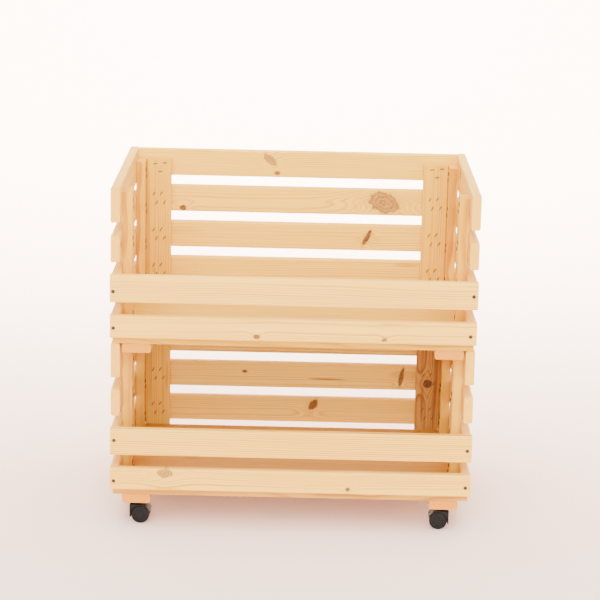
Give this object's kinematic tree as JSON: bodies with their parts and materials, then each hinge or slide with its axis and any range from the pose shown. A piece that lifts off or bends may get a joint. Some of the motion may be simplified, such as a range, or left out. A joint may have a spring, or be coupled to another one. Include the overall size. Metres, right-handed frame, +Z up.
{
  "type": "rolling stacked crates",
  "caption": "Slatted pine crate with a low open front stacked on a matching crate that rolls on small black hooded swivel casters; the upper crate lifts off.",
  "frame": {"origin": "on the ground, under the centre of the crates", "axes": "+Z up, -Y towards the low open fronts, +X to the right seen from the front"},
  "size_m": [0.6, 0.4, 0.578],
  "materials": {
    "pine_slats": "bare, sanded",
    "pine_posts": "bare, sanded",
    "pine_floor": "bare, sanded",
    "nail_steel": "dull, dark",
    "screw_steel": "zinc plated",
    "black_steel": "satin black",
    "black_plastic": "satin black",
    "black_wheel": "satin black"
  },
  "bodies": {
    "lower_crate": {"lower_back_slat_1": "pine_slats", "lower_back_slat_2": "pine_slats", "lower_back_slat_3": "pine_slats", "lower_back_slat_4": "pine_slats", "lower_brads": "nail_steel", "lower_floor_boards": "pine_floor", "lower_front_rail_lower": "pine_slats", "lower_front_rail_upper": "pine_slats", "lower_left_slat_1": "pine_slats", "lower_left_slat_2": "pine_slats", "lower_left_slat_3": "pine_slats", "lower_left_slat_4": "pine_slats", "lower_rail_nails": "nail_steel", "lower_rear_post_left": "pine_posts", "lower_rear_post_right": "pine_posts", "lower_right_slat_1": "pine_slats", "lower_right_slat_2": "pine_slats", "lower_right_slat_3": "pine_slats", "lower_right_slat_4": "pine_slats", "lower_runner_left": "pine_floor", "lower_runner_right": "pine_floor", "lower_side_posts_left": "pine_posts", "lower_side_posts_right": "pine_posts", "caster_plate_front_left": "black_steel", "caster_plate_front_right": "black_steel", "caster_plate_rear_left": "black_steel", "caster_plate_rear_right": "black_steel", "caster_screws": "screw_steel"},
    "upper_crate": {"upper_back_slat_1": "pine_slats", "upper_back_slat_2": "pine_slats", "upper_back_slat_3": "pine_slats", "upper_back_slat_4": "pine_slats", "upper_brads": "nail_steel", "upper_floor_boards": "pine_floor", "upper_front_rail_lower": "pine_slats", "upper_front_rail_upper": "pine_slats", "upper_left_slat_1": "pine_slats", "upper_left_slat_2": "pine_slats", "upper_left_slat_3": "pine_slats", "upper_left_slat_4": "pine_slats", "upper_rail_nails": "nail_steel", "upper_rear_post_left": "pine_posts", "upper_rear_post_right": "pine_posts", "upper_right_slat_1": "pine_slats", "upper_right_slat_2": "pine_slats", "upper_right_slat_3": "pine_slats", "upper_right_slat_4": "pine_slats", "upper_runner_left": "pine_floor", "upper_runner_right": "pine_floor", "upper_side_posts_left": "pine_posts", "upper_side_posts_right": "pine_posts"},
    "swivel_front_left": {"caster_hood_front_left": "black_plastic"},
    "wheels_front_left": {"caster_wheels_front_left": "black_wheel"},
    "swivel_front_right": {"caster_hood_front_right": "black_plastic"},
    "wheels_front_right": {"caster_wheels_front_right": "black_wheel"},
    "swivel_rear_left": {"caster_hood_rear_left": "black_plastic"},
    "wheels_rear_left": {"caster_wheels_rear_left": "black_wheel"},
    "swivel_rear_right": {"caster_hood_rear_right": "black_plastic"},
    "wheels_rear_right": {"caster_wheels_rear_right": "black_wheel"}
  },
  "joints": [
    {"name": "upper_crate_lift", "type": "slide", "parent": "lower_crate", "child": "upper_crate", "axis": [0, 0, 1], "range_m": [0, 0.15]},
    {"name": "swivel_front_left", "type": "hinge", "parent": "lower_crate", "child": "swivel_front_left", "pos_m": [-0.261, -0.158, 0.036], "axis": [0, 0, 1], "continuous": true},
    {"name": "roll_front_left", "type": "hinge", "parent": "swivel_front_left", "child": "wheels_front_left", "pos_m": [-0.25102, -0.1587, 0.015], "axis": [0.0698, 0.9976, 0], "continuous": true},
    {"name": "swivel_front_right", "type": "hinge", "parent": "lower_crate", "child": "swivel_front_right", "pos_m": [0.261, -0.158, 0.036], "axis": [0, 0, 1], "continuous": true},
    {"name": "roll_front_right", "type": "hinge", "parent": "swivel_front_right", "child": "wheels_front_right", "pos_m": [0.25101, -0.15765, 0.015], "axis": [-0.0349, -0.9994, 0], "continuous": true},
    {"name": "swivel_rear_left", "type": "hinge", "parent": "lower_crate", "child": "swivel_rear_left", "pos_m": [-0.261, 0.161, 0.036], "axis": [0, 0, 1], "continuous": true},
    {"name": "roll_rear_left", "type": "hinge", "parent": "swivel_rear_left", "child": "wheels_rear_left", "pos_m": [-0.25217, 0.16569, 0.015], "axis": [-0.4695, 0.8829, 0], "continuous": true},
    {"name": "swivel_rear_right", "type": "hinge", "parent": "lower_crate", "child": "swivel_rear_right", "pos_m": [0.261, 0.161, 0.036], "axis": [0, 0, 1], "continuous": true},
    {"name": "roll_rear_right", "type": "hinge", "parent": "swivel_rear_right", "child": "wheels_rear_right", "pos_m": [0.25217, 0.16569, 0.015], "axis": [-0.4695, -0.8829, 0], "continuous": true}
  ]
}
